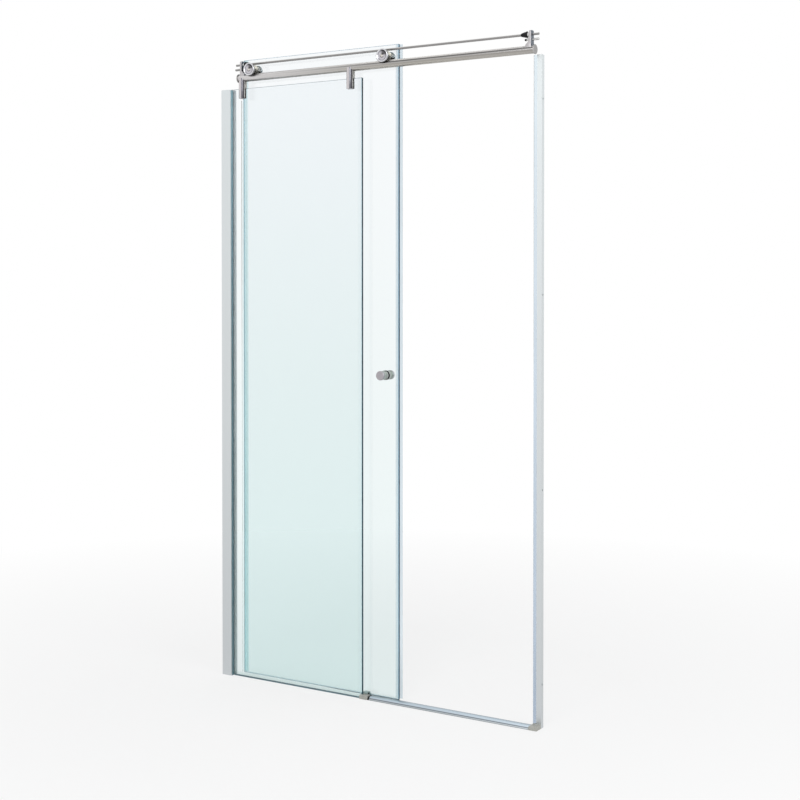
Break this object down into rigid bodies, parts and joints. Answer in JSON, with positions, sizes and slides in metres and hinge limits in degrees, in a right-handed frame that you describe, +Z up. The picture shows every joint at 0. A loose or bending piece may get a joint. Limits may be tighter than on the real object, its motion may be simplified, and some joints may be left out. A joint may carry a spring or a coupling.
{
  "type": "sliding shower door",
  "caption": "Sliding glass shower door for a recess: a fixed glass panel, a glass door on rollers that run along a round steel header tube, floor guide and threshold.",
  "frame": {"origin": "on the tray's rim under the threshold, at the middle of the opening, in the plane of the fixed glass and the header tube's axis", "axes": "+X from the fixed panel's wall to the closing wall, +Y from the room into the shower, +Z up"},
  "size_m": [1.2, 0.084, 2.114],
  "materials": {
    "clear_glass": "clear, polished",
    "satin_aluminium": "satin anodised",
    "brushed_steel": "fine brushed",
    "bright_steel": "bright turned",
    "polished_chrome": "polished",
    "satin_nickel": "satin nickel",
    "black_rubber": "matt black",
    "black_steel": "black oxide",
    "white_nylon": "natural nylon",
    "grey_plastic": "satin moulded",
    "green_grey_plastic": "satin moulded",
    "clear_vinyl": "clear flexible vinyl",
    "teal_gasket": "matt, dark blue-green"
  },
  "bodies": {
    "frame": {"wall_profile": "satin_aluminium", "glazing_channel": "satin_aluminium", "profile_cap": "satin_aluminium", "glazing_gaskets": "teal_gasket", "profile_screws": "bright_steel", "fixed_glass": "clear_glass", "glass_foot_seal": "teal_gasket", "header_tube": "brushed_steel", "tube_cap_left": "brushed_steel", "tube_cap_right": "brushed_steel", "end_bracket_left": "brushed_steel", "end_bracket_right": "brushed_steel", "bracket_grub_screws": "black_steel", "anti_lift_rod": "brushed_steel", "stop_bolt_left": "brushed_steel", "stop_bolt_right": "brushed_steel", "bolt_bumpers": "black_rubber", "rod_collars": "brushed_steel", "stop_cone_left": "black_rubber", "stop_cone_right": "black_rubber", "clamp_left": "brushed_steel", "clamp_right": "brushed_steel", "clamp_liners": "black_rubber", "clamp_set_screws": "black_steel", "clamp_studs": "bright_steel", "guide_cover": "grey_plastic", "guide_block": "green_grey_plastic", "guide_pads": "white_nylon", "guide_screws": "black_steel", "threshold": "satin_aluminium", "threshold_gasket": "black_rubber", "threshold_end_block": "grey_plastic", "strike_profile": "satin_aluminium", "strike_seal": "clear_vinyl"},
    "door": {"door_glass": "clear_glass", "roller_axle_left": "bright_steel", "roller_axle_right": "bright_steel", "roller_disc_left": "polished_chrome", "roller_disc_right": "polished_chrome", "roller_hub_left": "polished_chrome", "roller_hub_right": "polished_chrome", "glass_bushes": "white_nylon", "roller_spacers": "black_rubber", "rear_cap_left": "polished_chrome", "rear_cap_right": "polished_chrome", "knob_front": "satin_nickel", "knob_rear": "satin_nickel", "knob_rings": "black_rubber", "knob_stud": "bright_steel", "door_edge_seal": "clear_vinyl", "overlap_seal": "clear_vinyl", "bottom_seal": "clear_vinyl", "bearing_inner_left": "bright_steel", "bearing_inner_right": "bright_steel"},
    "wheel_left": {"roller_wheel_left": "white_nylon", "bearing_outer_left": "bright_steel"},
    "wheel_right": {"roller_wheel_right": "white_nylon", "bearing_outer_right": "bright_steel"}
  },
  "joints": [
    {"name": "door_slide", "type": "slide", "parent": "frame", "child": "door", "axis": [1, 0, 0], "range_m": [-0.007, 0.4653]},
    {"name": "roller_left_spin", "type": "hinge", "parent": "door", "child": "wheel_left", "pos_m": [-0.481, 0, 2.0745], "axis": [0, 1, 0], "continuous": true},
    {"name": "roller_right_spin", "type": "hinge", "parent": "door", "child": "wheel_right", "pos_m": [0.054, 0, 2.0745], "axis": [0, 1, 0], "continuous": true}
  ],
  "couplings": [
    {"joint": "roller_left_spin", "follows": "door_slide", "rad_per_m": 76.923},
    {"joint": "roller_right_spin", "follows": "door_slide", "rad_per_m": 76.923}
  ]
}
